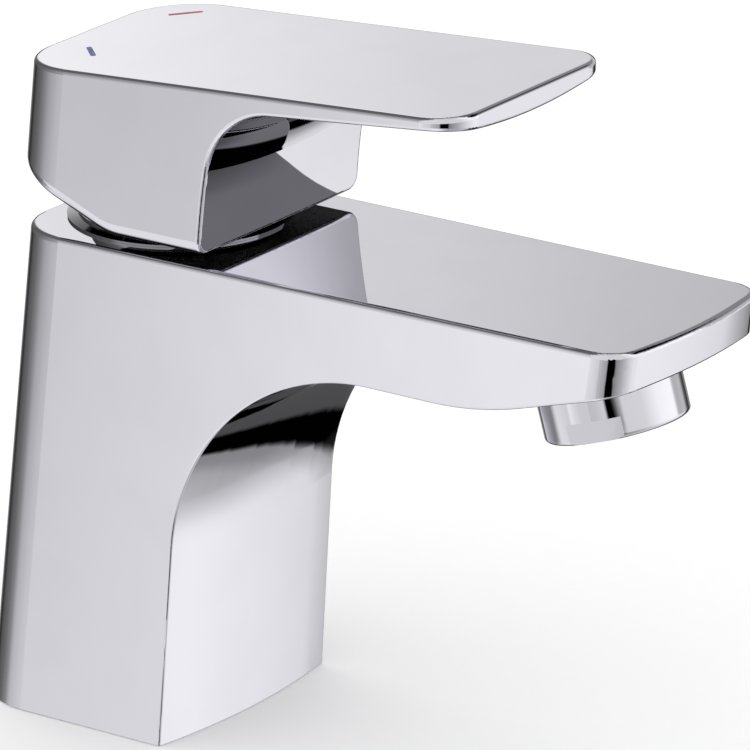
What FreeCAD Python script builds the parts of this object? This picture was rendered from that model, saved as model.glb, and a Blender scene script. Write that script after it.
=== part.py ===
import FreeCAD, Part
import math
import os
from FreeCAD import Placement, Rotation, Vector

# Single-lever basin mixer. Millimetres, +Z up, spout towards -Y, +X to the spout's left.
# Origin: on the deck plane, at the centre of the tap hole.

# ---- body, seen from the side (Y, Z) ----
BODY_BOTTOM_Z = 0.2
BODY_TOP_Z = 93.04          # top plane above the origin
TOP_TILT = 0.6              # degrees, the top plane rises towards the spout tip
COLUMN_BACK_FOOT_Y = 23.0
COLUMN_BACK_LEAN = 5.7      # degrees, the back leans forward going up
COLUMN_FRONT_LEAN = 3.8
ARCH_R = 42.0
ARCH_CENTRE_Y = -67.6
ARCH_CENTRE_Z = 36.2
UNDERSIDE_FLAT_END_Y = -80.6
UNDERSIDE_CURVE_R = 66.0
OUTLET_TILT = 16.2          # degrees, underside slope at the tip and lean of the outlet axis
TIP_Y = -120.8
TIP_LEAN = 7.0
TIP_FRONT_R = 105.0
FRONT_R = 145.0             # the column front is convex, with this radius seen from above

# ---- body, seen from the front ----
HALF_WIDTH_FOOT = 25.8
DRAFT_PER_MM = 0.0128       # half width lost per mm of height
TAPER_PER_MM = 0.011        # half width lost per mm towards the tip
BACK_CORNER_R = 12.0
TIP_CORNER_R = 6.5
TOP_EDGE_R = 1.0
SPOUT_EDGE_R = 0.5          # edges round the room under the spout

# ---- base cavity, inlets and stud ----
WALL = 3.6
CAVITY_ROOF_Z = 51.0
INLET_X = 7.8
INLET_Y = -5.0
INLET_LEG_R = 7.4
INLET_LEG_END_Z = 8.0
INLET_THREAD_R = 5.0        # M10x1
INLET_THREAD_DEPTH = 11.0
INLET_WATERWAY_R = 3.6
STUD_Y = 9.5
STUD_R = 4.0                # M8
STUD_BOSS_R = 6.5
STUD_BOSS_END_Z = 3.0
STUD_TOP_Z = 17.0
STUD_BOTTOM_Z = -58.0
GASKET_T = 1.5
GASKET_INSET = 1.6
GASKET_HOLE_R = 16.5

# ---- deck clamp, shown on a 20 mm deck ----
DECK_T = 20.0
SHOE_R = 23.0
SHOE_CORNER_R = 5.8         # slot corners, round the two hoses
SHOE_RUBBER_T = 2.5
SHOE_PLATE_T = 2.5
NUT_LENGTH = 18.0
NUT_HEX_FLATS = 13.0

# ---- cartridge stack: heights are above the body's top plane, on the cartridge axis ----
CARTRIDGE_Y = -7.6
CHAMBER_R = 17.6
CHAMBER_FLOOR = -33.0
MOUTH_R = 19.0              # M38 mouth thread
MOUTH_DEPTH = 9.5
LOWER_R = 15.6              # cartridge foot, leaves a ring of water round it
BASE_TOP = -27.0
DISC_SEAT_R = 13.2
DISC_T = 3.5
DISC_GAP = 0.02
MOVING_DISC_R = 11.5
CARRIER_R = 11.4
CARRIER_BOSS_R = 5.6
CARRIER_TOP = -14.5
HOUSING_R = 17.4
HOUSING_STEP = -21.0
SHOULDER = -9.0
NECK_R = 12.3
NECK_BORE_R = 10.35
NECK_TOP = 4.0
TURRET_R = 10.30
TURRET_FLANGE_R = 14.25
HOUSING_BORE_R = 14.6
TURRET_BOTTOM = -13.5
TURRET_SHOULDER = -9.75
TURRET_TOP = 4.6
PIVOT = -4.0
PIN_R = 1.5
PIN_RUNNING_GAP = 0.06
BALL_DROP = 13.0
BALL_R = 3.0
BALL_SOCKET_R = 3.10
STEM_LEAN = 8.0             # degrees, the stem leans towards the spout when closed
STEM_HALF = 4.0
STEM_SLOT_HALF_X = 4.2
STEM_SLOT_HALF_Y = 7.0
STEM_TOP = 27.0             # above the pivot, along the stem

# ---- trim ring ----
TRIM_R = 20.6
TRIM_EDGE_T = 0.4           # at its rim
TRIM_T = 1.5                # where its sloping flange meets the dome
DOME_R = 16.5
DOME_TOP = 5.4

# ---- handle, seen from the side (Y, Z) ----
HANDLE_HALF_W = 24.6
HANDLE_GAP = 2.1            # between the body's top plane and the handle's bottom
HANDLE_BACK_TOP = (13.1, 124.05)
HANDLE_BACK_LEAN = 5.7
LEVER_TIP_Y = -84.9
LEVER_TIP_TOP_Z = 131.0
LEVER_TIP_T = 4.2           # on the middle line, where the lever is thickest
LEVER_CROWN_R = 145.0       # the lever's underside is convex, with this radius across it
LEVER_ROOT = (-44.5, 122.45)
ARCH_MID = (-36.45, 118.6)
ARCH_FOOT = (-31.7, 110.0)
BLOCK_FRONT_MID = (-30.53, 101.75)
BLOCK_FRONT_FOOT = (-29.8, 93.5)
HEEL_START_Y = -8.6         # behind this line the bottom rises, to make room for lifting
HEEL_ANGLE = 22.0
HEEL_BLEND_R = 14.0
HANDLE_CORNER_R = 13.0
LEVER_CORNER_R = 7.5
BLOCK_BOTTOM_R = 2.8
HANDLE_TOP_R = 0.9
LEVER_EDGE_R = 0.8          # edges round the room under the lever
RECESS_R = 19.4
RECESS_TOP = 27.0           # above the body's top plane
SOCKET_BOSS_R = 11.0
SOCKET_START = 13.5         # above the pivot, along the stem
INSERT_HALF = 6.0
GRUB_HEIGHT = 20.0          # above the pivot, along the stem
GRUB_R = 2.5
CAP_R = 4.0

# ---- hot and cold index marks ----
MARK_X = 14.3
MARK_OFFSET = 2.2           # the pair sits this far to +X
MARK_Y = 3.2
MARK_LENGTH = 6.4
MARK_WIDTH = 1.0
MARK_DEPTH = 0.6

# ---- aerator: heights are above its outlet face, along the outlet axis ----
OUTLET_Y = -103.3
OUTLET_Z = 72.0
SHELL_R = 13.2
SHELL_THREAD_R = 12.0       # M24x1
SHELL_BORE_R = 10.8
SHELL_LIP_R = 9.9
SHELL_THREAD_TOP = 16.0
SHELL_EDGE_R = 0.9
SEAT_DEPTH = 0.2            # spot face round the outlet bore
FLAT_APOTHEM = 12.15
FLAT_HEIGHT = 4.0
FLAT_TURN = 17.0            # degrees, the spanner flats are turned from the X direction
OUTLET_BORE_TOP = 17.2

# ---- waterway in the spout ----
WATERWAY_H = 8.0
WATERWAY_HALF_W = 10.0
WATERWAY_Z = 86.2
WATERWAY_BEND_Y = -58.0
WATERWAY_END_Y = -84.0
FEED_START = (-19.0, 68.6)
FEED_SLOT_Z = (86.6, 90.6)
FEED_SLOT_END_Y = -98.0

FAR = 160.0                 # longer than the whole mixer, for cutting tools


def rad(degrees):
    return math.radians(degrees)


def at(x, y, z):
    return Vector(x, y, z)


def frame(y, z, lean):
    """Frame on the middle plane whose up axis leans towards the spout by an angle in degrees."""
    return Placement(at(0, y, z), Rotation(Vector(1, 0, 0), lean))


def put(shape, target):
    """A copy of a shape, carried from a frame of its own into the mixer's frame."""
    moved = shape.copy()
    moved.Placement = target.multiply(moved.Placement)
    return moved


def body_top_z(y):
    return BODY_TOP_Z - y * math.tan(rad(TOP_TILT))


CARTRIDGE_FRAME = frame(CARTRIDGE_Y, body_top_z(CARTRIDGE_Y), -TOP_TILT)
STEM_FRAME = CARTRIDGE_FRAME.multiply(frame(0, PIVOT, STEM_LEAN))
OUTLET_FRAME = frame(OUTLET_Y, OUTLET_Z, -OUTLET_TILT)


# ---- plain shapes ----

def cylinder(radius, low, high, x=0.0, y=0.0):
    """Upright cylinder between two heights."""
    return Part.makeCylinder(radius, high - low, at(x, y, low))


def ring(outer, inner, low, high):
    return cylinder(outer, low, high).cut(cylinder(inner, low - 1, high + 1))


def rounded_ring(outer, inner, low, high, radius):
    """Ring with all four circular edges rounded."""
    shape = ring(outer, inner, low, high)
    return shape.makeFillet(radius, [e for e in shape.Edges if isinstance(e.Curve, Part.Circle)])


def cross_cylinder(radius, half_length, z=0.0):
    """Cylinder along X, centred on the middle plane."""
    return Part.makeCylinder(radius, 2 * half_length, at(-half_length, 0, z), at(1, 0, 0))


def rear_cylinder(radius, near, far, z):
    """Cylinder along Y between two distances behind the origin."""
    return Part.makeCylinder(radius, far - near, at(0, near, z), at(0, 1, 0))


def block(x_range, y_range, z_range):
    size = [pair[1] - pair[0] for pair in (x_range, y_range, z_range)]
    return Part.makeBox(size[0], size[1], size[2], at(x_range[0], y_range[0], z_range[0]))


def square_bar(half, low, high):
    return block((-half, half), (-half, half), (low, high))


def hexagon_bar(flats, low, high, x=0.0, y=0.0):
    corner = flats / 2 / math.cos(rad(30))
    turns = [rad(60 * i) for i in range(7)]
    points = [at(x + corner * math.cos(t), y + corner * math.sin(t), low) for t in turns]
    return Part.Face(Part.makePolygon(points)).extrude(at(0, 0, high - low))


def polyhedron(bottom, top):
    """Solid between two quadrilaterals with matching corners."""
    faces = [Part.Face(Part.makePolygon(quad + quad[:1])) for quad in (bottom, top)]
    for i in range(4):
        j = (i + 1) % 4
        faces.append(Part.Face(Part.makePolygon([bottom[i], bottom[j], top[j], top[i], bottom[i]])))
    return Part.Solid(Part.Shell(faces))


def side_line(start, end, x=0.0):
    """Straight edge between two (Y, Z) points."""
    return Part.LineSegment(at(x, *start), at(x, *end)).toShape()


def side_arc(start, middle, end, x=0.0):
    """Arc through three (Y, Z) points."""
    return Part.Arc(at(x, *start), at(x, *middle), at(x, *end)).toShape()


def arc_point(centre, radius, degrees):
    """Point of a circle in the (Y, Z) plane, its angle measured from +Y towards +Z."""
    return (centre[0] + radius * math.cos(rad(degrees)), centre[1] + radius * math.sin(rad(degrees)))


def side_prism(points, half_width):
    """Polygon of (Y, Z) points, made as wide as asked."""
    wire = Part.makePolygon([at(-half_width, *p) for p in points + points[:1]])
    return Part.Face(wire).extrude(at(2 * half_width, 0, 0))


def round_edges(shape, radius, test):
    """Round the edges whose middle point passes a test."""
    chosen = [e for e in shape.Edges if test(e.valueAt((e.FirstParameter + e.LastParameter) / 2))]
    return shape.makeFillet(radius, chosen)


def cut_all(shape, tools):
    for tool in tools:
        shape = shape.cut(tool)
    return shape


# ---- body ----

def half_width(y, z):
    return HALF_WIDTH_FOOT - DRAFT_PER_MM * z + TAPER_PER_MM * y


def width_envelope():
    """Room between the two drafted and tapered sides."""
    quads = []
    for z in (-20.0, 120.0):
        near, far = half_width(-FAR, z), half_width(FAR, z)
        quads.append([at(-near, -FAR, z), at(near, -FAR, z), at(far, FAR, z), at(-far, FAR, z)])
    return polyhedron(*quads)


def back_y(z):
    return COLUMN_BACK_FOOT_Y - z * math.tan(rad(COLUMN_BACK_LEAN))


def body_blank():
    """Outer block of the body before the room under the spout is taken out."""
    top_back = BODY_TOP_Z - back_y(BODY_TOP_Z) * math.tan(rad(TOP_TILT))
    outline = [
        (back_y(BODY_BOTTOM_Z), BODY_BOTTOM_Z),
        (back_y(top_back), top_back),
        (-FAR, body_top_z(-FAR)),
        (-FAR, BODY_BOTTOM_Z),
    ]
    blank = side_prism(outline, 40.0).common(width_envelope())
    blank = round_edges(blank, BACK_CORNER_R, lambda p: p.y > 10 and 20 < p.z < 80 and abs(p.x) > 20)
    tip_frame = frame(TIP_Y, body_top_z(TIP_Y), TIP_LEAN)
    blank = blank.common(put(cylinder(TIP_FRONT_R, -FAR, FAR, y=TIP_FRONT_R), tip_frame))
    blank = round_edges(blank, TIP_CORNER_R, lambda p: p.y < TIP_Y + 20 and 20 < p.z < 80 and abs(p.x) > 15)
    return round_edges(blank, TOP_EDGE_R, lambda p: abs(p.z - body_top_z(p.y)) < 0.01)


def under_spout_room():
    """Room under the spout: one outline turned about an upright axis behind the body."""
    centre = (ARCH_CENTRE_Y, ARCH_CENTRE_Z)
    arch_foot = arc_point(centre, ARCH_R, COLUMN_FRONT_LEAN)
    arch_middle = arc_point(centre, ARCH_R, 45)
    arch_top = arc_point(centre, ARCH_R, 90)
    curve_centre = (UNDERSIDE_FLAT_END_Y, arch_top[1] + UNDERSIDE_CURVE_R)
    curve_start = arc_point(curve_centre, UNDERSIDE_CURVE_R, -90)
    curve_middle = arc_point(curve_centre, UNDERSIDE_CURVE_R, -90 - OUTLET_TILT / 2)
    curve_end = arc_point(curve_centre, UNDERSIDE_CURVE_R, -90 - OUTLET_TILT)
    outside_top = (-FAR, curve_end[1] + (curve_end[0] + FAR) * math.tan(rad(OUTLET_TILT)))
    low_z = -10.0
    foot = (front_y(low_z), low_z)
    outline = Part.Wire([
        side_line(foot, arch_foot),
        side_arc(arch_foot, arch_middle, arch_top),
        side_line(arch_top, curve_start),
        side_arc(curve_start, curve_middle, curve_end),
        side_line(curve_end, outside_top),
        side_line(outside_top, (-FAR, low_z)),
        side_line((-FAR, low_z), foot),
    ])
    half_turn = 20.0
    section = Part.Face(outline)
    section.rotate(front_axis_point(), at(0, 0, 1), -half_turn)
    return section.revolve(front_axis_point(), at(0, 0, 1), 2 * half_turn)


def front_y(z):
    """Column front on the middle plane: a straight leaning line that ends on the arch."""
    arch_foot = arc_point((ARCH_CENTRE_Y, ARCH_CENTRE_Z), ARCH_R, COLUMN_FRONT_LEAN)
    return arch_foot[0] + (arch_foot[1] - z) * math.tan(rad(COLUMN_FRONT_LEAN))


def front_axis_point():
    return at(0, front_y(0) + FRONT_R, 0)


def base_cavity():
    """Room for the hoses, open at the bottom."""
    shoulder_z = CAVITY_ROOF_Z - 8.0
    outline = [
        (front_y(-1.0) + WALL, -1.0),
        (front_y(shoulder_z) + WALL, shoulder_z),
        (front_y(CAVITY_ROOF_Z) + WALL + 6.0, CAVITY_ROOF_Z),
        (back_y(CAVITY_ROOF_Z) - WALL, CAVITY_ROOF_Z),
        (back_y(-1.0) - WALL, -1.0),
    ]
    half = half_width(0, CAVITY_ROOF_Z) - WALL
    cavity = side_prism(outline, half)
    corner_r = BACK_CORNER_R - WALL
    return round_edges(cavity, corner_r, lambda p: p.y > 8 and 15 < p.z < 40 and abs(p.x) > 15)


def inlet_positions():
    return [(-INLET_X, INLET_Y), (INLET_X, INLET_Y)]


def body_bosses():
    """Cast legs that carry the two inlet threads and the stud thread."""
    roof = CAVITY_ROOF_Z + 1.0
    legs = [cylinder(INLET_LEG_R, INLET_LEG_END_Z, roof, x, y) for x, y in inlet_positions()]
    return legs + [cylinder(STUD_BOSS_R, STUD_BOSS_END_Z, roof, 0, STUD_Y)]


def body_holes():
    """Every drilled or machined hole of the body."""
    floor_z = body_top_z(CARTRIDGE_Y) + CHAMBER_FLOOR
    thread_end = INLET_LEG_END_Z + INLET_THREAD_DEPTH
    tools = []
    for x, y in inlet_positions():
        tools.append(cylinder(INLET_THREAD_R, INLET_LEG_END_Z - 1, thread_end, x, y))
        tools.append(cylinder(INLET_WATERWAY_R, thread_end - 1, floor_z + 1, x, y))
    tools.append(cylinder(STUD_R, STUD_BOSS_END_Z - 1, STUD_TOP_Z + 1, 0, STUD_Y))
    tools.append(put(cylinder(CHAMBER_R, CHAMBER_FLOOR, 5), CARTRIDGE_FRAME))
    tools.append(put(cylinder(MOUTH_R, -MOUTH_DEPTH, 5), CARTRIDGE_FRAME))
    tools.append(put(cylinder(SHELL_THREAD_R + 0.05, 5, OUTLET_BORE_TOP), OUTLET_FRAME))
    tools.append(put(cylinder(SHELL_R + 0.1, 2, outlet_underside()), OUTLET_FRAME))
    return tools


def waterway():
    """Cored passage from the cartridge chamber to the outlet bore."""
    half_h = WATERWAY_H / 2
    bend = (WATERWAY_BEND_Y, WATERWAY_Z)
    slope = math.atan2(bend[1] - FEED_START[1], FEED_START[0] - bend[0])
    rise = (half_h * math.sin(slope), half_h * math.cos(slope))
    feed = side_prism([
        (FEED_START[0] + rise[0], FEED_START[1] + rise[1]),
        (bend[0] + rise[0], bend[1] + rise[1]),
        (bend[0] - rise[0], bend[1] - rise[1]),
        (FEED_START[0] - rise[0], FEED_START[1] - rise[1]),
    ], WATERWAY_HALF_W)
    across = (-WATERWAY_HALF_W, WATERWAY_HALF_W)
    run = block(across, (WATERWAY_END_Y, bend[0] + 1.5), (WATERWAY_Z - half_h, WATERWAY_Z + half_h))
    slot = block(across, (FEED_SLOT_END_Y, WATERWAY_END_Y + 1), FEED_SLOT_Z)
    return [feed, run, slot]


def foot_plate(inset, low, high):
    """Plate with the outline of the body's foot, moved in by a distance."""
    half = HALF_WIDTH_FOOT - inset
    back = COLUMN_BACK_FOOT_Y - inset
    middle_front = front_y(0) + inset
    side_front = front_axis_point().y - math.sqrt((FRONT_R - inset) ** 2 - half ** 2)
    radius = BACK_CORNER_R - inset
    diagonal = radius * (1 - math.cos(rad(45)))
    corner = (half - diagonal, back - diagonal)
    outline = Part.Wire([
        Part.Arc(at(-half, side_front, low), at(0, middle_front, low), at(half, side_front, low)).toShape(),
        Part.LineSegment(at(half, side_front, low), at(half, back - radius, low)).toShape(),
        Part.Arc(at(half, back - radius, low), at(*corner, low), at(half - radius, back, low)).toShape(),
        Part.LineSegment(at(half - radius, back, low), at(radius - half, back, low)).toShape(),
        Part.Arc(at(radius - half, back, low), at(-corner[0], corner[1], low),
                 at(-half, back - radius, low)).toShape(),
        Part.LineSegment(at(-half, back - radius, low), at(-half, side_front, low)).toShape(),
    ])
    return Part.Face(outline).extrude(at(0, 0, high - low))


def is_spout_edge(point):
    """True for the outer edges left by the room under the spout."""
    return 5 < point.z < 88 and point.y < -15 and (abs(point.x) > 20 or point.y < TIP_Y + 5)


def faucet_body():
    body = body_blank().cut(under_spout_room())
    body = round_edges(body, SPOUT_EDGE_R, is_spout_edge)
    body = body.cut(base_cavity())
    body = body.fuse(Part.Compound(body_bosses())).removeSplitter()
    body = cut_all(body, body_holes() + waterway())
    return body.cut(foot_plate(GASKET_INSET - 0.1, -1, GASKET_T))


def base_gasket():
    return foot_plate(GASKET_INSET, 0, GASKET_T - 0.02).cut(cylinder(GASKET_HOLE_R, -1, 5))


# ---- deck clamp ----

def mounting_stud():
    stud = cylinder(STUD_R, STUD_BOTTOM_Z, STUD_TOP_Z, 0, STUD_Y)
    return stud.makeChamfer(0.8, [e for e in stud.Edges if isinstance(e.Curve, Part.Circle)])


def horseshoe(low, high):
    """Horseshoe plate: a slot from its front edge lets both hoses pass, a hole takes the stud."""
    span = (low - 1, high + 1)
    half_slot = INLET_X + SHOE_CORNER_R
    tools = [block((-half_slot, half_slot), (-FAR, INLET_Y), span)]
    tools.append(block((-INLET_X, INLET_X), (INLET_Y - 1, INLET_Y + SHOE_CORNER_R), span))
    tools += [cylinder(SHOE_CORNER_R, *span, x, y) for x, y in inlet_positions()]
    tools.append(cylinder(STUD_R + 0.4, *span, 0, STUD_Y))
    return cut_all(cylinder(SHOE_R, low, high), tools)


def horseshoe_gasket():
    return horseshoe(-DECK_T - SHOE_RUBBER_T, -DECK_T)


def horseshoe_plate():
    low = -DECK_T - SHOE_RUBBER_T - SHOE_PLATE_T
    return horseshoe(low, -DECK_T - SHOE_RUBBER_T)


def clamp_nut():
    top = -DECK_T - SHOE_RUBBER_T - SHOE_PLATE_T
    nut = hexagon_bar(NUT_HEX_FLATS, top - NUT_LENGTH, top - 2, 0, STUD_Y)
    nut = nut.fuse(cylinder(NUT_HEX_FLATS / 2 + 1.5, top - 2, top, 0, STUD_Y))
    return nut.cut(cylinder(STUD_R + 0.02, top - NUT_LENGTH - 1, top + 1, 0, STUD_Y)).removeSplitter()


# ---- cartridge ----

def inlet_ports(radius, low, high):
    """Two inlet holes, in the cartridge's own frame."""
    y = INLET_Y - CARTRIDGE_Y
    return [cylinder(radius, low, high, x, y) for x in (-INLET_X, INLET_X)]


def outlet_port(low, high):
    """Crescent-like outlet on the spout side of the discs."""
    lobes = [cylinder(2.2, low, high, x, -6.6) for x in (-4.0, 4.0)]
    return lobes + [block((-4.0, 4.0), (-8.8, -4.4), (low, high))]


def inlet_seal(x):
    seal = ring(5.2, 3.4, CHAMBER_FLOOR, CHAMBER_FLOOR + 1.5)
    seal.translate(at(x, INLET_Y - CARTRIDGE_Y, 0))
    return put(seal, CARTRIDGE_FRAME)


def cartridge_base():
    """Foot of the cartridge: seal pockets below, disc seat above, water leaves at its side."""
    foot = cylinder(LOWER_R, CHAMBER_FLOOR + 0.02, BASE_TOP)
    seat = cylinder(DISC_SEAT_R, BASE_TOP - DISC_T, BASE_TOP + 1)
    exit_low = CHAMBER_FLOOR + 1.6
    exit_slot = block((-6.2, 6.2), (-LOWER_R - 1, -4.4), (exit_low, BASE_TOP - DISC_T + 0.1))
    seal_pockets = inlet_ports(5.25, CHAMBER_FLOOR - 1, CHAMBER_FLOOR + 1.5)
    tools = [seat, exit_slot] + seal_pockets + inlet_ports(3.2, CHAMBER_FLOOR, BASE_TOP)
    return put(cut_all(foot, tools), CARTRIDGE_FRAME)


def fixed_ceramic_disc():
    low = BASE_TOP - DISC_T
    disc = cylinder(DISC_SEAT_R - 0.05, low, BASE_TOP)
    tools = inlet_ports(3.2, low - 1, BASE_TOP + 1) + outlet_port(low - 1, BASE_TOP + 1)
    return put(cut_all(disc, tools), CARTRIDGE_FRAME)


def slider_y():
    """Rest position of the sliding disc, given by the leaning stem."""
    return BALL_DROP * math.sin(rad(STEM_LEAN))


def moving_disc():
    low = BASE_TOP + DISC_GAP
    y = slider_y()
    disc = cylinder(MOVING_DISC_R, low, low + DISC_T, 0, y)
    pocket = cylinder(7.6, low - 1, low + 1.6, 0, y)
    return put(disc.cut(pocket), CARTRIDGE_FRAME)


def disc_carrier():
    """Plastic slide that holds the moving disc and takes the stem's ball end."""
    low = BASE_TOP + DISC_GAP + DISC_T
    y = slider_y()
    carrier = cylinder(CARRIER_R, low, low + 3.4, 0, y)
    carrier = carrier.fuse(cylinder(CARRIER_BOSS_R, low, CARRIER_TOP, 0, y)).removeSplitter()
    return put(carrier.cut(cylinder(BALL_SOCKET_R, low + 1.6, 0, 0, y)), CARTRIDGE_FRAME)


def cartridge_housing():
    """Stepped plastic shell of the cartridge."""
    shell = cylinder(LOWER_R, BASE_TOP + 0.01, HOUSING_STEP + 1)
    shell = shell.fuse([cylinder(HOUSING_R, HOUSING_STEP, SHOULDER), cylinder(NECK_R, SHOULDER, NECK_TOP)])
    groove = ring(HOUSING_R + 1, HOUSING_R - 1.5, -17.2, -15.0)
    wide_bore = cylinder(HOUSING_BORE_R, BASE_TOP - 1, TURRET_SHOULDER + 0.15)
    neck_bore = cylinder(NECK_BORE_R, BASE_TOP, NECK_TOP + 1)
    return put(cut_all(shell.removeSplitter(), [groove, wide_bore, neck_bore]), CARTRIDGE_FRAME)


def cartridge_oring():
    return put(rounded_ring(CHAMBER_R, HOUSING_R - 1.5, -17.1, -15.1, 0.7), CARTRIDGE_FRAME)


def cartridge_nut():
    """Brass ring nut that holds the cartridge down, with four spanner notches."""
    nut = ring(MOUTH_R - 0.05, NECK_R + 0.3, SHOULDER, -1.1)
    for turn in range(4):
        notch = block((-2.5, 2.5), (14.5, 17.2), (-4.5, 0))
        notch.rotate(at(0, 0, 0), at(0, 0, 1), 45 + 90 * turn)
        nut = nut.cut(notch)
    return put(nut, CARTRIDGE_FRAME)


def trim_ring():
    """Polished cover over the cartridge nut, with a thin sloping flange on the body."""
    flange = cylinder(TRIM_R, 0.02, TRIM_EDGE_T)
    slope = Part.makeCone(TRIM_R, DOME_R, TRIM_T - TRIM_EDGE_T, at(0, 0, TRIM_EDGE_T))
    spigot = cylinder(MOUTH_R - 0.3, -0.9, TRIM_T)
    cover = flange.fuse([slope, spigot, cylinder(DOME_R, 0, DOME_TOP)]).removeSplitter()
    cover = round_edges(cover, 2.2, lambda p: abs(p.z - DOME_TOP) < 0.01)
    hollow = cylinder(DOME_R - 1.4, -2, DOME_TOP - 1.6)
    return put(cut_all(cover, [hollow, cylinder(NECK_R + 0.15, -3, DOME_TOP + 1)]), CARTRIDGE_FRAME)


# ---- turret: turns for temperature ----

def cartridge_turret():
    turret = cylinder(TURRET_FLANGE_R, TURRET_BOTTOM, TURRET_SHOULDER)
    turret = turret.fuse(cylinder(TURRET_R, TURRET_SHOULDER, TURRET_TOP)).removeSplitter()
    slot = block(
        (-STEM_SLOT_HALF_X, STEM_SLOT_HALF_X),
        (-STEM_SLOT_HALF_Y, STEM_SLOT_HALF_Y),
        (TURRET_BOTTOM - 1, TURRET_TOP + 1),
    )
    groove = ring(TURRET_R + 1, TURRET_R - 1.2, 1.0, 2.8)
    return put(cut_all(turret, [slot, groove, cross_cylinder(PIN_R, 12, PIVOT)]), CARTRIDGE_FRAME)


def pivot_pin():
    return put(cross_cylinder(PIN_R, TURRET_R - 0.6, PIVOT), CARTRIDGE_FRAME)


def turret_oring():
    return put(rounded_ring(TURRET_R, TURRET_R - 1.2, 1.05, 2.75, 0.5), CARTRIDGE_FRAME)


# ---- stem and handle: lift for flow ----

def spindle():
    """Square stem above the pivot, ball end below it."""
    stem = square_bar(STEM_HALF, -4.5, STEM_TOP)
    arm = cylinder(2.2, -BALL_DROP, -4)
    ball = Part.makeSphere(BALL_R, at(0, 0, -BALL_DROP))
    stem = stem.fuse([arm, ball])
    return put(stem.cut(cross_cylinder(PIN_R + PIN_RUNNING_GAP, 6)), STEM_FRAME)


def handle_insert():
    sleeve = square_bar(INSERT_HALF, SOCKET_START, STEM_TOP)
    tools = [square_bar(STEM_HALF + 0.03, SOCKET_START - 1, STEM_TOP + 1)]
    tools.append(rear_cylinder(GRUB_R + 0.1, 2, 8, GRUB_HEIGHT))
    return put(cut_all(sleeve, tools), STEM_FRAME)


def grub_screw():
    screw = rear_cylinder(GRUB_R - 0.03, STEM_HALF + 0.05, 11.0, GRUB_HEIGHT)
    socket = hexagon_bar(2.5, 0, 3)
    socket.rotate(at(0, 0, 0), at(1, 0, 0), -90)
    socket.translate(at(0, 8.5, GRUB_HEIGHT))
    return put(screw.cut(socket), STEM_FRAME)


def top_slope():
    """Slope of the lever's top, rising towards its tip."""
    return (LEVER_TIP_TOP_Z - HANDLE_BACK_TOP[1]) / (HANDLE_BACK_TOP[0] - LEVER_TIP_Y)


def lever_top_z(y):
    return HANDLE_BACK_TOP[1] + (HANDLE_BACK_TOP[0] - y) * top_slope()


def handle_outline():
    """Outline of the handle seen from the side, before the room under the lever is taken out."""
    def bottom_z(y):
        return body_top_z(y) + HANDLE_GAP

    blend = HEEL_BLEND_R * math.tan(rad(HEEL_ANGLE / 2))
    heel_rise = rad(HEEL_ANGLE - TOP_TILT)
    kink = (HEEL_START_Y, bottom_z(HEEL_START_Y))
    flat_end = (kink[0] - blend, bottom_z(kink[0] - blend))
    heel_start = (kink[0] + blend * math.cos(heel_rise), kink[1] + blend * math.sin(heel_rise))
    normal_turn = rad(HEEL_ANGLE / 2 - TOP_TILT)
    sag = HEEL_BLEND_R * (1 / math.cos(rad(HEEL_ANGLE / 2)) - 1)
    blend_middle = (kink[0] - sag * math.sin(normal_turn), kink[1] + sag * math.cos(normal_turn))
    lean = math.tan(rad(HANDLE_BACK_LEAN))
    reach = (HANDLE_BACK_TOP[0] + HANDLE_BACK_TOP[1] * lean - kink[0] - kink[1] * lean)
    run = reach / (1 + math.tan(heel_rise) * lean)
    heel_end = (kink[0] + run, kink[1] + run * math.tan(heel_rise))
    tip_top = (LEVER_TIP_Y, LEVER_TIP_TOP_Z)
    tip_foot = (LEVER_TIP_Y, bottom_z(LEVER_TIP_Y))
    x = -HANDLE_HALF_W
    return Part.Wire([
        side_line(tip_foot, flat_end, x),
        side_arc(flat_end, blend_middle, heel_start, x),
        side_line(heel_start, heel_end, x),
        side_line(heel_end, HANDLE_BACK_TOP, x),
        side_line(HANDLE_BACK_TOP, tip_top, x),
        side_line(tip_top, tip_foot, x),
    ])


def under_lever_room():
    """Room under the lever: one outline turned about a lengthwise axis above the lever."""
    run = LEVER_ROOT[0] - LEVER_TIP_Y
    rise = LEVER_TIP_TOP_Z - LEVER_TIP_T - LEVER_ROOT[1]
    outside_top = (-FAR, LEVER_ROOT[1] + (LEVER_ROOT[0] + FAR) * rise / run)
    low = ARCH_FOOT[1] - 2 * (ARCH_FOOT[1] - BLOCK_FRONT_FOOT[1])
    foot = (2 * BLOCK_FRONT_FOOT[0] - ARCH_FOOT[0], low)
    section = Part.Face(Part.Wire([
        side_line(outside_top, LEVER_ROOT),
        side_arc(LEVER_ROOT, ARCH_MID, ARCH_FOOT),
        side_arc(ARCH_FOOT, BLOCK_FRONT_MID, BLOCK_FRONT_FOOT),
        side_line(BLOCK_FRONT_FOOT, foot),
        side_line(foot, (-FAR, low)),
        side_line((-FAR, low), outside_top),
    ]))
    length = math.hypot(run, rise)
    axis_y = LEVER_ROOT[0] + LEVER_CROWN_R * rise / length
    axis_point = at(0, axis_y, LEVER_ROOT[1] + LEVER_CROWN_R * run / length)
    axis = at(0, -run, rise)
    half_turn = 20.0
    section.rotate(axis_point, axis, -half_turn)
    return section.revolve(axis_point, axis, 2 * half_turn)


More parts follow.
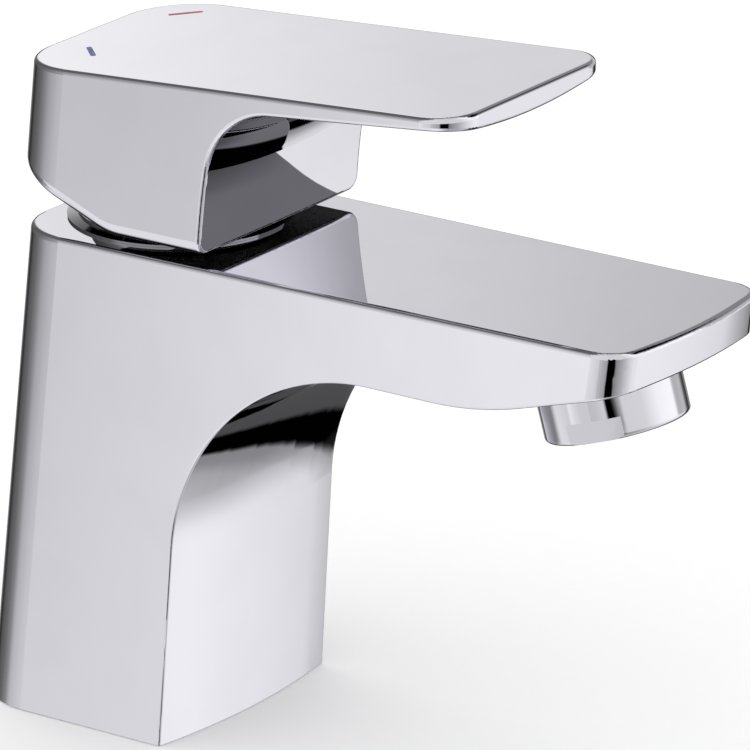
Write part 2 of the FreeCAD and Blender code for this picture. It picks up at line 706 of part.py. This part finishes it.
def handle_blank():
    """Outer shape of the handle: a block with a flat lever on top."""
    blank = Part.Face(handle_outline()).extrude(at(2 * HANDLE_HALF_W, 0, 0))
    edge_x = HANDLE_HALF_W - 0.1
    blank = round_edges(
        blank, HANDLE_CORNER_R, lambda p: p.y > 12 and 105 < p.z < 123 and abs(p.x) > edge_x)
    blank = round_edges(blank, LEVER_CORNER_R, lambda p: p.y < LEVER_TIP_Y + 0.1 and abs(p.x) > edge_x)
    blank = round_edges(blank, BLOCK_BOTTOM_R, lambda p: p.z < 107 and is_heel_edge(p))
    blank = round_edges(blank, HANDLE_TOP_R, lambda p: abs(p.z - lever_top_z(p.y)) < 0.01)
    return round_edges(blank.cut(under_lever_room()), LEVER_EDGE_R, is_lever_edge)


def is_lever_edge(point):
    """True for the outer edges left by the room under the lever."""
    side = point.y < ARCH_FOOT[0] + 1.5 and abs(point.x) > HANDLE_HALF_W - 0.1 and 100 < point.z < 129
    tip = point.y < LEVER_TIP_Y + 5 and LEVER_TIP_TOP_Z - LEVER_TIP_T - 0.5 < point.z < 129
    return side or tip


def is_heel_edge(point):
    """True for the outer edge of the handle's bottom, along its sides and round its back."""
    return abs(point.x) > HANDLE_HALF_W - 0.1 or point.y > 5


def handle_recess():
    """Hollow over the trim ring, with the stem's socket boss left standing in it."""
    recess = put(cylinder(RECESS_R, -8, RECESS_TOP), CARTRIDGE_FRAME)
    return recess.cut(put(cylinder(SOCKET_BOSS_R, SOCKET_START, FAR), STEM_FRAME))


def cap_hole(radius, near):
    return put(rear_cylinder(radius, near, 40, GRUB_HEIGHT), STEM_FRAME)


def index_mark(side, extra_height):
    """Bar laid across a back corner of the lever's top."""
    half_l, half_w = MARK_LENGTH / 2, MARK_WIDTH / 2
    bar = block((-half_l, half_l), (-half_w, half_w), (-MARK_DEPTH, extra_height))
    bar = round_edges(bar, 0.9 * half_w, lambda p: abs(p.x) > half_l - 0.01 and abs(p.y) > half_w - 0.01)
    bar.rotate(at(0, 0, 0), at(0, 0, 1), -45 * side)
    lean = math.degrees(math.atan(top_slope()))
    bar.rotate(at(0, 0, 0), at(1, 0, 0), -lean)
    bar.translate(at(MARK_OFFSET + side * MARK_X, MARK_Y, lever_top_z(MARK_Y)))
    return bar


def handle():
    tools = [handle_recess()]
    tools.append(put(square_bar(INSERT_HALF + 0.03, SOCKET_START - 1, STEM_TOP + 0.3), STEM_FRAME))
    tools.append(put(rear_cylinder(GRUB_R, 5, 14, GRUB_HEIGHT), STEM_FRAME))
    tools.append(cap_hole(CAP_R + 0.05, 16))
    tools += [index_mark(side, 1.0) for side in (-1, 1)]
    return cut_all(handle_blank(), tools)


def screw_cap():
    """Plug that hides the grub screw, flush with the handle's back."""
    return cap_hole(CAP_R, 20).common(handle_blank())


# ---- aerator ----

def aerator_shell():
    """Chromed collar with an outside thread, a bottom lip and two spanner flats."""
    underside = outlet_underside()
    shell = cylinder(SHELL_R, 0, underside - 0.05)
    shell = round_edges(shell, SHELL_EDGE_R, lambda p: p.z < 0.01 and math.hypot(p.x, p.y) > SHELL_R - 1)
    for turn in (0, 180):
        flat = block((FLAT_APOTHEM, SHELL_R + 1), (-SHELL_R, SHELL_R), (-1, FLAT_HEIGHT))
        flat.rotate(at(0, 0, 0), at(0, 0, 1), turn + FLAT_TURN)
        shell = shell.cut(flat)
    shell = shell.fuse(cylinder(SHELL_THREAD_R, underside - 0.5, SHELL_THREAD_TOP)).removeSplitter()
    bore = cylinder(SHELL_BORE_R, 1.5, SHELL_THREAD_TOP + 1)
    return put(cut_all(shell, [bore, cylinder(SHELL_LIP_R, -1, 2)]), OUTLET_FRAME)


def outlet_underside():
    """Height of the spout's underside above the outlet face, along the outlet axis."""
    start_y = UNDERSIDE_FLAT_END_Y - UNDERSIDE_CURVE_R * math.sin(rad(OUTLET_TILT))
    start_z = ARCH_CENTRE_Z + ARCH_R + UNDERSIDE_CURVE_R * (1 - math.cos(rad(OUTLET_TILT)))
    rise = (math.sin(rad(OUTLET_TILT)), math.cos(rad(OUTLET_TILT)))
    return (start_y - OUTLET_Y) * rise[0] + (start_z - OUTLET_Z) * rise[1] + SEAT_DEPTH


def hole_grid(pitch, limit):
    """Centres of a triangular grid inside a circle."""
    rows = range(-8, 9)
    row_pitch = pitch * math.sqrt(3) / 2
    points = [((i + (j % 2) / 2) * pitch, j * row_pitch) for i in rows for j in rows]
    return [p for p in points if math.hypot(*p) < limit]


def aerator_insert():
    """Honeycomb that gives the water jet its shape."""
    low, high = 1.55, 7.5
    body = cylinder(SHELL_BORE_R - 0.1, low, high)
    cells = [hexagon_bar(2.3, low - 1, high + 1, x, y) for x, y in hole_grid(2.9, SHELL_LIP_R - 1.6)]
    return put(body.cut(Part.Compound(cells)), OUTLET_FRAME)


def flow_regulator():
    low, high = 7.6, 11.0
    body = cylinder(SHELL_BORE_R - 0.15, low, high)
    turns = [rad(30 * i) for i in range(12)]
    holes = [cylinder(0.9, low - 1, high + 1, 7 * math.cos(t), 7 * math.sin(t)) for t in turns]
    return put(body.cut(Part.Compound(holes)), OUTLET_FRAME)


def aerator_screen():
    low, high = 11.1, 11.9
    body = cylinder(SHELL_BORE_R - 0.2, low, high)
    holes = [cylinder(0.6, low - 1, high + 1, x, y) for x, y in hole_grid(2.0, SHELL_BORE_R - 1.5)]
    return put(body.cut(Part.Compound(holes)), OUTLET_FRAME)


def aerator_washer():
    low, high = SHELL_THREAD_TOP + 0.02, OUTLET_BORE_TOP - 0.05
    return put(ring(SHELL_THREAD_R - 0.2, 9.2, low, high), OUTLET_FRAME)


PARTS = {
    "faucet_body": faucet_body,
    "base_gasket": base_gasket,
    "mounting_stud": mounting_stud,
    "horseshoe_gasket": horseshoe_gasket,
    "horseshoe_plate": horseshoe_plate,
    "clamp_nut": clamp_nut,
    "cartridge_base": cartridge_base,
    "cold_inlet_seal": lambda: inlet_seal(INLET_X),
    "hot_inlet_seal": lambda: inlet_seal(-INLET_X),
    "fixed_ceramic_disc": fixed_ceramic_disc,
    "moving_ceramic_disc": moving_disc,
    "disc_carrier": disc_carrier,
    "cartridge_housing": cartridge_housing,
    "cartridge_oring": cartridge_oring,
    "cartridge_nut": cartridge_nut,
    "trim_ring": trim_ring,
    "cartridge_turret": cartridge_turret,
    "pivot_pin": pivot_pin,
    "turret_oring": turret_oring,
    "spindle": spindle,
    "handle_insert": handle_insert,
    "grub_screw": grub_screw,
    "handle": handle,
    "screw_cap": screw_cap,
    "cold_index": lambda: index_mark(-1, 0.03),
    "hot_index": lambda: index_mark(1, 0.03),
    "aerator_shell": aerator_shell,
    "aerator_insert": aerator_insert,
    "flow_regulator": flow_regulator,
    "aerator_screen": aerator_screen,
    "aerator_washer": aerator_washer,
}

os.makedirs("parts", exist_ok=True)
for name, make in PARTS.items():
    make().exportStep("parts/" + name + ".step")
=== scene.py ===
import math

import bpy
from mathutils import Matrix, Vector


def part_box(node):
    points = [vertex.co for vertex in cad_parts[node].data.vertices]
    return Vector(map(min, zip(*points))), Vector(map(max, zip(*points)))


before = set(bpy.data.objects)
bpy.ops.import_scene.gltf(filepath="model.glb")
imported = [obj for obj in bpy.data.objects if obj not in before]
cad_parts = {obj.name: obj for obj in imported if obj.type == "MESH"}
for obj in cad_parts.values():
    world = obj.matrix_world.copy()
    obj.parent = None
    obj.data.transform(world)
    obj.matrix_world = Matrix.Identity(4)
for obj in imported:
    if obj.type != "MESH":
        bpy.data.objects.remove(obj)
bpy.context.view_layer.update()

# Camera, on the user's left and a little above the spout, far away with a long lens. Its target
# is a point between foot and spout, and the off-axis pair turns it a little from that point.
CAMERA_TARGET = Vector((0.0, -0.057, 0.065))
CAMERA_BACK = Vector((-0.77036, -0.53958, 0.33970))
CAMERA_RIGHT = Vector((0.57433, -0.81862, 0.00215))
CAMERA_DISTANCE = 1.5
CAMERA_LENS = 401.4
CAMERA_OFF_AXIS = (-0.003370, 0.004334)

# The studio as polished metal sees it, a pale tent. Each ring is a list of
# (azimuth in degrees from +X towards +Y, tone from 0 black to 255 white). The tones were picked
# from tones measured in the photograph and sorted by the direction that each reflects,
# so they are fitted to the photograph's own reflections.
FLOOR_RING = (
    (-180, 231), (-160, 222), (-145, 196), (-130, 160), (-105, 163), (-75, 184), (-50, 200), (-35, 172),
    (-24, 158), (-17, 132), (10, 104), (35, 175), (60, 186), (80, 202), (110, 210), (140, 218),
    (155, 230), (180, 231),
)
WALL_RING = (
    (-180, 186), (-164, 162), (-130, 125), (-107, 164), (-86, 202), (-66, 226), (-50, 236), (-36, 227),
    (-26, 219), (-19, 211), (-15, 184), (-11, 158), (-7, 24), (3, 16), (12, 120), (30, 150),
    (46, 135), (56, 90), (64, 44), (70, 56), (76, 78), (93, 100), (110, 136), (130, 160),
    (140, 174), (143.9, 182), (145.6, 222), (148, 236), (155, 214), (165, 200),
)
UPPER_RING = (
    (-180, 212), (-150, 204), (-100, 208), (-72, 240), (-46, 248), (-39.5, 246), (-37.5, 222), (-35, 190),
    (-31, 172), (20, 174), (31, 162), (33.5, 182), (35.3, 198), (36.5, 200), (38, 214), (40, 232),
    (47, 200), (51, 100), (66, 80), (100, 102), (140, 148), (150, 212),
)
# Elevations over which the floor turns into the wall, and the wall into its upper part.
FLOOR_TO_WALL = (-42.0, -27.0)
WALL_TO_UPPER = (-13.0, -3.0)
# Flags and cards in the tent: azimuths, elevations, softness of the edges across and up, tone.
CARDS = (
    ((112, 172), (-60, -20), (16, 14), 220),    # pale, for the rounded lower edges
    ((-155, -131), (-34, 1), (5, 5), 6),        # black strip in the near corners and the aerator
    ((-9.5, 70), (-75, -31), (4, 5), 70),       # dark and low, for the arch
    ((-9.5, 5.5), (-75, -29), (4, 5), 5),       # its black part
    ((-50, 130), (42, 66), (8, 8), 90),         # dim band, for the rounded upper edges
    ((-58, 26), (17, 44), (6, 5), 126),         # grey, for the recess in the handle
    ((-62, -14), (29, 50), (3, 3), 6),          # black, for the top of that recess
    ((18, 50), (-16, 6), (8, 5), 36),           # dark, for the gap under the handle
    ((-180, 180), (70, 95), (10, 10), 200),     # roof
)
LIGHT_STRENGTH = 1.12

CHROME_REFLECTANCE = 0.61
CHROME_COLOUR = (0.612, 0.606, 0.650, 1.0)
CAP_COLOUR = (0.560, 0.562, 0.590, 1.0)
TRIM_COLOUR = (0.300, 0.297, 0.318, 1.0)

# The handle's surfaces that are left rough as cast and painted near black as shade: its bottom, up to
# this height over its lowest point and facing down at least this much, and what lies this deep inside its
# outline.
BOTTOM_HEIGHT = 0.0022
BOTTOM_FACING = -0.8
SIDE_DEPTH = 0.003
TOP_DEPTH = 0.012
CORNER_DEPTH = 0.012
RECESS_FRONT = -0.0285

STUD_Y = 0.0095             # axis of the mounting stud and its nut
STUD_PITCH = 0.00125
LATHE_GROOVES = 5000        # noise steps per metre
WIRE_PITCH = 0.0005
FLOOR_HALF_WIDTH = 4.0


def tone(value):
    """Linear strength of a part of the tent that the metal shows at this tone."""
    return (value / 255) ** 2.2 / CHROME_REFLECTANCE


def grey(value):
    """Opaque colour with three equal parts."""
    return (value, value, value, 1.0)


class Nodes:
    """Short calls for building one node tree."""

    def __init__(self, tree):
        self.tree = tree

    def add(self, kind, inputs=None, **settings):
        node = self.tree.nodes.new(kind)
        for key, value in settings.items():
            setattr(node, key, value)
        for key, value in (inputs or {}).items():
            if isinstance(value, bpy.types.NodeSocket):
                self.tree.links.new(value, node.inputs[key])
            else:
                node.inputs[key].default_value = value
        return node

    def math(self, operation, *values):
        return self.add("ShaderNodeMath", dict(enumerate(values)), operation=operation).outputs[0]

    def spread(self, value, low, high, start=0.0, end=1.0, smooth=False):
        """Value's range from low to high, spread over start to end."""
        kind = "SMOOTHSTEP" if smooth else "LINEAR"
        inputs = {"Value": value, "From Min": low, "From Max": high, "To Min": start, "To Max": end}
        return self.add("ShaderNodeMapRange", inputs, interpolation_type=kind).outputs["Result"]

    def mix(self, factor, a, b):
        node = self.add("ShaderNodeMix", data_type="RGBA")
        sockets = {"Factor": node.inputs[0], "A": node.inputs[6], "B": node.inputs[7]}
        for key, value in (("Factor", factor), ("A", a), ("B", b)):
            if isinstance(value, bpy.types.NodeSocket):
                self.tree.links.new(value, sockets[key])
            else:
                sockets[key].default_value = value
        return node.outputs[2]

    def ramp(self, value, stops):
        """Colour at a value, between (place, colour) stops."""
        node = self.add("ShaderNodeValToRGB", {"Fac": value})
        band = node.color_ramp
        while len(band.elements) < len(stops):
            band.elements.new(0.5)
        for element, (place, colour) in zip(band.elements, sorted(stops)):
            element.position = place
            element.color = colour
        return node.outputs["Color"]

    def noise(self, place, scale, detail):
        inputs = {"Vector": place, "Scale": float(scale), "Detail": float(detail)}
        return self.add("ShaderNodeTexNoise", inputs).outputs[0]

    def stretch(self, place, scales):
        return self.add("ShaderNodeMapping", {"Vector": place, "Scale": scales}).outputs[0]

    def bump(self, height, distance, normal=None):
        inputs = {"Height": height, "Distance": distance}
        if normal:
            inputs["Normal"] = normal
        return self.add("ShaderNodeBump", inputs).outputs["Normal"]


def make_camera():
    """Camera as the constants say."""
    back = CAMERA_BACK.normalized()
    right = CAMERA_RIGHT.normalized()
    up = back.cross(right)
    place = CAMERA_TARGET + back * CAMERA_DISTANCE
    back = (back - right * CAMERA_OFF_AXIS[0] - up * CAMERA_OFF_AXIS[1]).normalized()
    right = up.cross(back).normalized()
    up = back.cross(right)
    data = bpy.data.cameras.new("camera")
    data.lens = CAMERA_LENS
    data.sensor_width = 36.0
    data.clip_start = 0.1
    data.clip_end = 20.0
    camera = bpy.data.objects.new("camera", data)
    bpy.context.scene.collection.objects.link(camera)
    turn = Matrix((right, up, back)).transposed()
    camera.matrix_world = Matrix.Translation(place) @ turn.to_4x4()
    bpy.context.scene.camera = camera


def ring(nodes, azimuth, stops):
    """Colour of the tent round the object, from a list of azimuths and tones."""
    place = nodes.spread(azimuth, -180.0, 180.0)
    return nodes.ramp(place, [((a + 180) / 360, grey(tone(t))) for a, t in stops])


def within(nodes, angle, limits, soft):
    """1 between two angles and 0 outside, with a soft edge centred on each of them."""
    low, high = limits
    from_middle = nodes.math("ABSOLUTE", nodes.math("SUBTRACT", angle, (low + high) / 2))
    outer = (high - low) / 2 + soft / 2
    return nodes.spread(from_middle, outer, outer - soft, smooth=True)


def make_studio():
    """Even white light for everything, and the tent for what polished metal reflects."""
    world = bpy.data.worlds.new("studio")
    bpy.context.scene.world = world
    world.use_nodes = True
    world.cycles.sampling_method = "NONE"
    tree = world.node_tree
    tree.nodes.clear()
    nodes = Nodes(tree)
    direction = nodes.add("ShaderNodeTexCoord").outputs["Generated"]
    axes = nodes.add("ShaderNodeSeparateXYZ", {0: direction})
    turn = nodes.math("ARCTAN2", axes.outputs["Y"], axes.outputs["X"])
    azimuth = nodes.math("DEGREES", turn)
    elevation = nodes.math("DEGREES", nodes.math("ARCSINE", axes.outputs["Z"]))

    lower = nodes.spread(elevation, *FLOOR_TO_WALL, smooth=True)
    upper = nodes.spread(elevation, *WALL_TO_UPPER, smooth=True)
    colour = nodes.mix(lower, ring(nodes, azimuth, FLOOR_RING), ring(nodes, azimuth, WALL_RING))
    colour = nodes.mix(upper, colour, ring(nodes, azimuth, UPPER_RING))
    for azimuths, elevations, (soft_across, soft_up), value in CARDS:
        across = within(nodes, azimuth, azimuths, soft_across)
        up = within(nodes, elevation, elevations, soft_up)
        colour = nodes.mix(nodes.math("MULTIPLY", across, up), colour, grey(tone(value)))

    tent = nodes.add("ShaderNodeBackground", {"Color": colour, "Strength": 1.0})
    plain = nodes.add("ShaderNodeBackground", {"Color": grey(1.0), "Strength": LIGHT_STRENGTH})
    glossy = nodes.add("ShaderNodeLightPath").outputs["Is Glossy Ray"]
    both = nodes.add("ShaderNodeMixShader", {0: glossy, 1: plain.outputs[0], 2: tent.outputs[0]})
    nodes.add("ShaderNodeOutputWorld", {"Surface": both.outputs[0]})


def start(name):
    """New material: its nodes, its shader and the coordinates of a point on the object, in metres."""
    material = bpy.data.materials.new(name)
    material.use_nodes = True
    nodes = Nodes(material.node_tree)
    shader = material.node_tree.nodes["Principled BSDF"]
    place = nodes.add("ShaderNodeTexCoord").outputs["Object"]
    return material, nodes, shader, place


def link(nodes, shader, **sockets):
    """Join outputs to the shader's inputs, which are named with _ for a space."""
    for name, value in sockets.items():
        nodes.tree.links.new(value, shader.inputs[name.replace("_", " ")])


def under_and_inside(nodes, place):
    """1 on the handle's bottom and in its recess, which are left rough as cast and painted near black as
    shade, and 0 elsewhere.
    """
    (_, _, bottom), (right, back, top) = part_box("handle")
    normal = nodes.add("ShaderNodeNewGeometry").outputs["Normal"]
    local = nodes.add("ShaderNodeVectorTransform", {0: normal}, vector_type="NORMAL", convert_to="OBJECT")
    down = nodes.add("ShaderNodeSeparateXYZ", {0: local.outputs[0]}).outputs["Z"]
    axes = nodes.add("ShaderNodeSeparateXYZ", {0: place})
    low = nodes.math("LESS_THAN", axes.outputs["Z"], bottom + BOTTOM_HEIGHT)
    facing = nodes.math("MULTIPLY", low, nodes.math("LESS_THAN", down, BOTTOM_FACING))
    across = nodes.math("ABSOLUTE", axes.outputs["X"])
    to_corner = nodes.math("ADD", across, axes.outputs["Y"])
    recess = [
        nodes.math("LESS_THAN", across, right - SIDE_DEPTH),
        nodes.math("LESS_THAN", to_corner, right + back - CORNER_DEPTH),
        nodes.math("GREATER_THAN", axes.outputs["Y"], RECESS_FRONT),
        nodes.math("LESS_THAN", axes.outputs["Y"], back - SIDE_DEPTH),
        nodes.math("LESS_THAN", axes.outputs["Z"], top - TOP_DEPTH),
    ]
    inside = recess[0]
    for side in recess[1:]:
        inside = nodes.math("MULTIPLY", inside, side)
    return nodes.math("MAXIMUM", facing, inside)


def chrome(name, bright=CHROME_COLOUR, cast_and_painted_shade=None):
    """Bright plate on a polished casting: long soft waves, a thin wiped film and hairlines."""
    material, nodes, shader, place = start(name)
    shader.inputs["Metallic"].default_value = 1.0
    thin = tuple(c * 0.98 for c in bright[:3]) + (1.0,)
    colour = nodes.ramp(nodes.noise(place, 70, 3), [(0.38, thin), (0.58, bright)])
    film = nodes.spread(nodes.noise(place, 260, 5), 0.42, 0.72, 0.012, 0.036)
    wiped = nodes.noise(nodes.stretch(place, (5200, 420, 5200)), 1, 2)
    roughness = nodes.math("ADD", film, nodes.spread(wiped, 0.60, 0.80, 0.0, 0.03))
    waves = nodes.bump(nodes.noise(place, 30, 1), 1e-5)
    normal = nodes.bump(wiped, 4e-8, waves)
    if cast_and_painted_shade:
        mask = cast_and_painted_shade(nodes, place)
        sand = nodes.noise(place, 1400, 4)
        # Where the mask is 1 the colour turns near black: painted shade on the handle's bottom and in its
        # recess. The roughness and grain are the rough as-cast surface.
        colour = nodes.mix(mask, colour, nodes.ramp(sand, [(0.3, grey(0.05)), (0.7, grey(0.11))]))
        roughness = nodes.math("MAXIMUM", roughness, nodes.math("MULTIPLY", mask, 0.55))
        normal = nodes.bump(nodes.math("MULTIPLY", sand, mask), 6e-5, normal)
    link(nodes, shader, Base_Color=colour, Roughness=roughness, Normal=normal)
    return material


def rubber(name):
    """Moulded black rubber with a bloom of dust and a fine grain."""
    material, nodes, shader, place = start(name)
    colour = nodes.ramp(nodes.noise(place, 420, 5), [(0.35, grey(0.016)), (0.68, grey(0.045))])
    roughness = nodes.spread(nodes.noise(place, 900, 4), 0.3, 0.7, 0.52, 0.72)
    normal = nodes.bump(nodes.noise(place, 3200, 3), 3e-5)
    link(nodes, shader, Base_Color=colour, Roughness=roughness, Normal=normal)
    return material


def turned(nodes, place, centre_y):
    """Fine grooves that a lathe leaves round an upright axis, as a height."""
    axes = nodes.add("ShaderNodeSeparateXYZ", {0: place})
    y = nodes.math("SUBTRACT", axes.outputs["Y"], centre_y)
    square = nodes.math("ADD", nodes.math("POWER", axes.outputs["X"], 2.0), nodes.math("POWER", y, 2.0))
    along = nodes.math("ADD", nodes.math("SQRT", square), axes.outputs["Z"])
    count = nodes.math("MULTIPLY", along, LATHE_GROOVES)
    return nodes.add("ShaderNodeTexNoise", {"W": count, "Detail": 2.0}, noise_dimensions="1D").outputs[0]


def threaded(nodes, place, centre_y, pitch):
    """Height of a screw thread round an upright axis."""
    axes = nodes.add("ShaderNodeSeparateXYZ", {0: place})
    turn = nodes.math("ARCTAN2", nodes.math("SUBTRACT", axes.outputs["Y"], centre_y), axes.outputs["X"])
    rise = nodes.math("MULTIPLY", axes.outputs["Z"], 2 * math.pi / pitch)
    return nodes.math("SINE", nodes.math("SUBTRACT", rise, turn))


def machined(name, dark, light, rough, centre_y=0.0, pitch=None):
    """Turned metal, with a thread where a pitch is given."""
    material, nodes, shader, place = start(name)
    shader.inputs["Metallic"].default_value = 1.0
    colour = nodes.ramp(nodes.noise(place, 160, 4), [(0.35, dark), (0.65, light)])
    grooves = turned(nodes, place, centre_y)
    roughness = nodes.spread(grooves, 0.3, 0.7, rough, rough + 0.14)
    normal = nodes.bump(grooves, 6e-6)
    if pitch:
        normal = nodes.bump(threaded(nodes, place, centre_y, pitch), 1.6e-4, normal)
    link(nodes, shader, Base_Color=colour, Roughness=roughness, Normal=normal)
    return material


def zinc_plate(name):
    """Pressed steel with zinc crystals and shallow rolling marks."""
    material, nodes, shader, place = start(name)
    shader.inputs["Metallic"].default_value = 1.0
    cells = nodes.add("ShaderNodeTexVoronoi", {"Vector": place, "Scale": 420.0}).outputs["Color"]
    crystal = nodes.add("ShaderNodeSeparateColor", {0: cells}).outputs[0]
    colour = nodes.ramp(crystal, [(0.0, (0.40, 0.41, 0.43, 1)), (1.0, (0.58, 0.585, 0.60, 1))])
    rolled = nodes.noise(nodes.stretch(place, (2600, 160, 2600)), 1, 3)
    roughness = nodes.spread(rolled, 0.3, 0.7, 0.30, 0.46)
    link(nodes, shader, Base_Color=colour, Roughness=roughness, Normal=nodes.bump(rolled, 1e-5))
    return material


def woven_steel(name):
    """Stainless mesh: wires at a half-millimetre pitch both ways, with painted shade in the openings
    between them.
    """
    material, nodes, shader, place = start(name)
    shader.inputs["Metallic"].default_value = 1.0
    axes = nodes.add("ShaderNodeSeparateXYZ", {0: place})
    wires = [
        nodes.math("SINE", nodes.math("MULTIPLY", axes.outputs[axis], 2 * math.pi / WIRE_PITCH))
        for axis in ("X", "Y")
    ]
    height = nodes.math("MAXIMUM", *wires)
    # Painted shade: the colour turns near black in the openings, where both wires dip.
    colour = nodes.ramp(nodes.spread(height, -1.0, 1.0), [(0.45, grey(0.05)), (0.75, grey(0.62))])
    roughness = nodes.spread(nodes.noise(place, 1200, 2), 0.3, 0.7, 0.22, 0.38)
    link(nodes, shader, Base_Color=colour, Roughness=roughness, Normal=nodes.bump(height, 6e-5))
    return material


def moulded(name, colour, rough):
    """Moulded plastic: slightly clouded colour, spark-eroded grain and faint flow lines."""
    material, nodes, shader, place = start(name)
    shade = tuple(c * 0.90 for c in colour) + (1.0,)
    tint = nodes.ramp(nodes.noise(place, 130, 4), [(0.34, shade), (0.62, colour + (1.0,))])
    grain = nodes.noise(place, 2600, 3)
    roughness = nodes.spread(grain, 0.3, 0.7, rough - 0.05, rough + 0.08)
    flow = nodes.bump(nodes.noise(nodes.stretch(place, (90, 90, 420)), 1, 2), 2e-5)
    link(nodes, shader, Base_Color=tint, Roughness=roughness, Normal=nodes.bump(grain, 8e-6, flow))
    return material


def ceramic(name):
    """Lapped alumina: ivory, with darker grains and very fine lapping marks."""
    material, nodes, shader, place = start(name)
    specks = nodes.add("ShaderNodeTexVoronoi", {"Vector": place, "Scale": 2200.0}).outputs["Distance"]
    colour = nodes.ramp(specks, [(0.04, (0.62, 0.60, 0.55, 1)), (0.16, (0.86, 0.84, 0.79, 1))])
    lapped = nodes.noise(place, 5200, 2)
    roughness = nodes.spread(lapped, 0.3, 0.7, 0.10, 0.20)
    link(nodes, shader, Base_Color=colour, Roughness=roughness, Normal=nodes.bump(lapped, 1.5e-6))
    return material


def enamel(name, deep, bright):
    """Smooth filled enamel: pooled colour and a slight orange peel."""
    material, nodes, shader, place = start(name)
    shader.inputs["Specular IOR Level"].default_value = 0.12
    colour = nodes.ramp(nodes.noise(place, 700, 3), [(0.32, deep), (0.62, bright)])
    roughness = nodes.spread(nodes.noise(place, 1500, 3), 0.3, 0.7, 0.18, 0.30)
    normal = nodes.bump(nodes.noise(place, 1100, 1), 1.2e-5)
    link(nodes, shader, Base_Color=colour, Roughness=roughness, Normal=normal)
    return material


def make_finishes():
    """One material for each material slot of the record."""
    steel = ((0.46, 0.465, 0.475, 1), (0.60, 0.605, 0.615, 1))
    brass = ((0.58, 0.38, 0.13, 1), (0.74, 0.53, 0.22, 1))
    return {
        "body_chrome": chrome("chrome_body"),
        "handle_chrome": chrome("chrome_handle", cast_and_painted_shade=under_and_inside),
        "trim_chrome": chrome("chrome_trim", TRIM_COLOUR),
        "aerator_chrome": chrome("chrome_aerator"),
        "gasket_rubber": rubber("rubber_gasket"),
        "seal_rubber": rubber("rubber_seal"),
        "stud_steel": machined("steel_stud", *steel, 0.24, STUD_Y, STUD_PITCH),
        "plate_steel": zinc_plate("zinc_plate"),
        "screen_steel": woven_steel("steel_screen"),
        "nut_brass": machined("brass_nut", *brass, 0.22, STUD_Y),
        "spindle_brass": machined("brass_spindle", *brass, 0.20),
        "cartridge_plastic": moulded("plastic_cartridge", (0.74, 0.74, 0.71), 0.46),
        "carrier_plastic": moulded("plastic_carrier", (0.47, 0.50, 0.53), 0.42),
        "insert_plastic": moulded("plastic_insert", (0.70, 0.73, 0.75), 0.34),
        "disc_ceramic": ceramic("ceramic_disc"),
        "cap_plastic": chrome("plated_plastic_cap", CAP_COLOUR),
        "cold_blue": enamel("enamel_blue", (0.006, 0.022, 0.13, 1), (0.012, 0.05, 0.27, 1)),
        "hot_red": enamel("enamel_red", (0.24, 0.008, 0.030, 1), (0.42, 0.020, 0.060, 1)),
    }


def make_floor():
    """Plain pale floor at the deck's level. It isn't mirrored: the tent stands for it."""
    half = FLOOR_HALF_WIDTH
    corners = [(-half, -half, 0.0), (half, -half, 0.0), (half, half, 0.0), (-half, half, 0.0)]
    mesh = bpy.data.meshes.new("floor")
    mesh.from_pydata(corners, [], [(0, 1, 2, 3)])
    floor = bpy.data.objects.new("floor", mesh)
    bpy.context.scene.collection.objects.link(floor)
    material, nodes, shader, place = start("floor")
    shader.inputs["Specular IOR Level"].default_value = 0.0
    colour = nodes.ramp(nodes.noise(place, 260, 4), [(0.3, grey(0.955)), (0.7, grey(0.965))])
    link(nodes, shader, Base_Color=colour)
    mesh.materials.append(material)
    floor.visible_glossy = False


finishes = make_finishes()
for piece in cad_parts.values():
    piece.data.materials[0] = finishes[piece.data.materials[0].name]
make_floor()
bpy.context.scene.view_settings.view_transform = "Standard"
make_studio()
make_camera()
